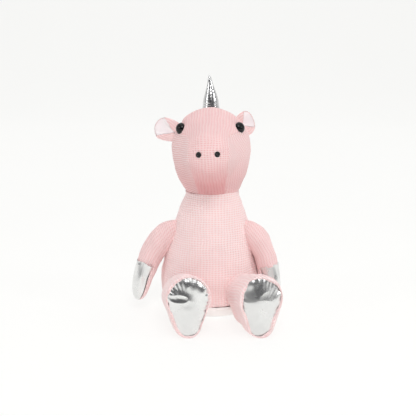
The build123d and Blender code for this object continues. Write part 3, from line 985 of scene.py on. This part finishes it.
def teardrop(t, top_z, top, low, inset):
    """A teardrop round from its lowest point, standing on z = 0: (across, height) at t from 0 to 1."""
    lean = np.arcsin((top - low) / (top_z - low))
    run = np.sqrt((top_z - low) ** 2 - (top - low) ** 2)
    a, b = np.maximum(top - inset, 0.1), np.maximum(low - inset, 0.1)
    parts = b * (math.pi / 2 - lean), run, a * (math.pi / 2 + lean)
    s = (1 - np.abs(2 * t - 1)) * (parts[0] + parts[1] + parts[2])
    turn_low = -math.pi / 2 + s / b
    f = np.clip((s - parts[0]) / parts[1], 0, 1)
    turn_top = -lean + (s - parts[0] - parts[1]) / a
    x_line = (b + (a - b) * f) * np.cos(lean)
    x = np.where(s < parts[0], b * np.cos(turn_low), np.where(f < 1, x_line, a * np.cos(turn_top)))
    z_line = low - b * np.sin(lean) + f * ((top_z - a * np.sin(lean)) - (low - b * np.sin(lean)))
    z_top = top_z + a * np.sin(turn_top)
    z = np.where(s < parts[0], low + b * np.sin(turn_low), np.where(f < 1, z_line, z_top))
    return x * np.where(t > 0.5, -1, 1), z


def rounded_root(x, z, v, share):
    """A leg's section drawn together to a blunt end over the first share of its length."""
    left = 1 - np.clip(v / share, 0, 1)
    scale = np.sqrt(np.clip(1 - left**2, 0.0004, 1))
    return x * scale, ROOT_MIDDLE + (z - ROOT_MIDDLE) * scale


def leg_point(side, depth, x, z):
    """A point at a depth ahead of the hip, x across and z up."""
    hip_x, hip_y, turn = LEGS[side]
    c, s = math.cos(math.radians(turn)), math.sin(math.radians(turn))
    return np.stack([hip_x + depth * s + x * c, hip_y - depth * c + x * s, z], axis=-1)


def leg_section(depth):
    """The measures of a leg's teardrop at a depth ahead of its hip."""
    share = np.clip((depth + ROOT_DEPTH) / (LEG_LENGTH + ROOT_DEPTH), 0, 1)
    return [root + (foot - root) * share for root, foot in zip(LEG_ROOT, LEG_FOOT)]


def build_legs():
    for side in SIDES:
        body = f"leg_{side}"
        seed = 111 if side == "left" else 121

        def cover(v, u, side=side, seed=seed):
            run = np.clip(v / 0.9, 0, 1)
            roll = np.clip((v - 0.9) / 0.1, 0, 1)
            depth = -12 + (LEG_LENGTH + 11.5) * run + 1.9 * np.sin(roll * math.pi * 0.9)
            section = leg_section(depth)
            puff = 0.8 * np.sin(math.pi * np.clip(depth / LEG_LENGTH, 0, 1))
            around = np.stack([np.cos(2 * math.pi * u), np.sin(2 * math.pi * u)], axis=-1)
            ragged = 0.8 * noise(around, 1.3, seed + 4) + 0.35 * noise(around, 0.4, seed + 5)
            inset = (SOLE_INSET + np.maximum(ragged, -0.8)) * (1 - np.cos(roll * math.pi / 2)) - puff
            x, z = rounded_root(*teardrop(u, *section, inset), v, 0.07)
            return leg_point(side, depth, x, np.maximum(z, FLOOR_GAP))
        heart = leg_point(side, np.array(30.0), np.array(0.0), np.array(24.0))
        sock = knit_piece(f"leg_cover_{side}", cover, (170, 300), (20, 40), wrap=True,
                          sewn=(True, True, False), seams=(False, False, False), seed=seed, away_from=heart,
                          lumps=0.45, cap=1.0, slack=0.015)

        def inside(v, u, side=side):
            depth = -10 + (LEG_LENGTH + 6) * v
            section = leg_section(depth)
            rounded = 6 * np.clip((v - 0.85) / 0.15, 0, 1) ** 2
            x, z = rounded_root(*teardrop(u, *section, LIMB_INSET + rounded), v, 0.12)
            return leg_point(side, depth, x, z)
        stuffing = filling(f"leg_stuffing_{side}", inside, (60, 80))
        for piece in (sock, stuffing):
            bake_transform(piece)

        def sole(v, u, side=side, seed=seed):
            angle = 2 * math.pi * u
            x, z = teardrop(u, *LEG_FOOT, SOLE_INSET - 1.4)
            share = (1 - v) ** 1.2
            height = SOLE_MIDDLE + (z - SOLE_MIDDLE) * share
            puckers = 0.4 * np.sin(24 * angle + 4 * np.sin(3 * angle + seed))
            puckers = puckers * np.exp(-v / 0.12) * ease(height, 14, 34)
            puffed = 6.6 * (1 - share ** 1.8)
            return leg_point(side, LEG_LENGTH - 0.6 + puffed + puckers, x * share, height)
        ahead = leg_point(side, 1.0, 0.0, 0.0) - leg_point(side, 0.0, 0.0, 0.0)

        def crumpled(points, seed=seed):
            top = ease(points[..., 2], 24, 40)
            folds = noise(points, 26.0, seed + 3)
            creases = 1 - 1.7 * np.abs(noise(points * (0.6, 0.6, 1.3), 24.0, seed + 8))
            return top * (0.34 * folds + 0.3 * creases)
        foil_piece(f"sole_{side}", sole, (120, 300), True, body, seed + 2, crumpled, towards=ahead)


# ---- carried-over CAD nodes ---------------------------------------------------------------------
def dress_hidden_nodes():
    """Materials for the pieces that stay as the CAD made them."""
    looks = {"stuffing": "fibre", "washer": "washer", "pouch": "pouch", "fill": "bead", "seam": "thread"}
    for name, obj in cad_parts.items():
        for word, material in looks.items():
            if word in name:
                obj.data.materials.clear()
                obj.data.materials.append(MATERIALS[material])


# ---- stage, light and camera --------------------------------------------------------------------
PAPER_GLOW = (1.0, 1.0, 0.985, 1)


def build_stage():
    """A pale floor that curves up into a wall, far behind the toy."""
    floor_end, wall_top, bend = 1.6, 2.6, 0.8
    line = [(-7.0, 0.0), (floor_end, 0.0)]
    for i in range(1, 13):
        a = math.radians(90 * i / 12)
        line.append((floor_end + bend * math.sin(a), bend - bend * math.cos(a)))
    line.append((floor_end + bend, wall_top))
    half = 7.0
    points = [(x, y, z - 0.0002) for y, z in line for x in (-half, half)]
    faces = [(2 * i, 2 * i + 1, 2 * i + 3, 2 * i + 2) for i in range(len(line) - 1)]
    mesh = bpy.data.meshes.new("studio_floor")
    mesh.from_pydata(points, [], faces)
    mesh.polygons.foreach_set("use_smooth", [True] * len(faces))
    obj = bpy.data.objects.new("studio_floor", mesh)
    bpy.context.scene.collection.objects.link(obj)
    m = Surface("studio_paper", Roughness=0.9, Specular_IOR_Level=0.1, Emission_Color=PAPER_GLOW,
                Emission_Strength=0.76)
    m.set("Base Color", m.blend(m.noise(m.place(), 3.0), (0.22, 0.22, 0.217, 1), (0.24, 0.24, 0.236, 1)))
    mesh.materials.append(m.material)


ROOM_DARK, ROOM_LIGHT, ROOM_SEEN = (0.06, 0.06, 0.065, 1), (0.52, 0.525, 0.53, 1), (0.95, 0.95, 0.94, 1)


def area_light(name, place, target, size, watts, mirrored=True):
    """A soft lamp. One that isn't mirrored lights cloth but has no image in foil."""
    data = bpy.data.lights.new(name, "AREA")
    data.shape, data.size, data.size_y = "RECTANGLE", size[0], size[1]
    data.energy = watts
    obj = bpy.data.objects.new(name, data)
    bpy.context.scene.collection.objects.link(obj)
    obj.location = place
    obj.visible_glossy = mirrored
    aim(obj, target)


def aim(obj, target):
    """Turns a light or camera so that its -Z looks at target."""
    direction = Vector(target) - obj.location
    obj.rotation_euler = direction.to_track_quat("-Z", "Y").to_euler()


def build_light():
    middle = (0.0, 0.0, 0.12)
    area_light("key", (0.12, -1.1, 1.3), middle, (0.6, 0.6), 9.2)
    area_light("right_side", (1.5, -0.7, 0.8), middle, (0.4, 0.4), 5.0)
    area_light("left_side", (-1.5, -0.7, 0.8), middle, (0.4, 0.4), 3.4)
    area_light("low", (0.1, -1.5, 0.1), middle, (1.2, 0.16), 2.0, mirrored=False)
    area_light("top", (0.0, 0.3, 1.7), middle, (1.8, 1.8), 5.5)
    area_light("wall", (0.0, 1.0, 1.6), (0.0, 2.4, 0.8), (2.4, 0.8), 5)
    build_world()
    bpy.context.scene.view_settings.view_transform = "Standard"


def build_world():
    """A room that is bright above and grey towards the front, so that foil has something to reflect."""
    world = bpy.data.worlds.new("studio")
    m = Nodes(world, "Background")
    direction = m.node("SeparateXYZ", {0: m.node("TexCoord").outputs["Generated"]}).outputs
    bright = []
    for axis, low, high in (("Z", 0.30, 0.95), ("Y", -0.9, 0.1)):
        inputs = {"Value": direction[axis], "From Min": low, "From Max": high}
        bright.append(m.node("MapRange", inputs, interpolation_type="SMOOTHSTEP").outputs["Result"])
    room = m.blend(m.number("MAXIMUM", *bright), ROOM_DARK, ROOM_LIGHT)
    m.set("Color", m.blend(m.node("LightPath").outputs["Is Camera Ray"], room, ROOM_SEEN))
    bpy.context.scene.world = world


def build_camera():
    """The camera looks down by its elevation at the middle of the picture."""
    elevation, distance = math.radians(12.0), 1.1077
    target = (-0.0045, 0.0, 0.1132)
    data = bpy.data.cameras.new("camera")
    data.sensor_width, data.lens = 36.0, 85.4
    obj = bpy.data.objects.new("camera", data)
    bpy.context.scene.collection.objects.link(obj)
    obj.location = (target[0], -distance * math.cos(elevation), target[2] + distance * math.sin(elevation))
    aim(obj, target)
    bpy.context.scene.camera = obj


build_camera()
build_light()
build_stage()
build_torso()
build_head()
build_face()
build_horn()
build_ears()
build_arms()
build_legs()
dress_hidden_nodes()

bpy.context.view_layer.update()
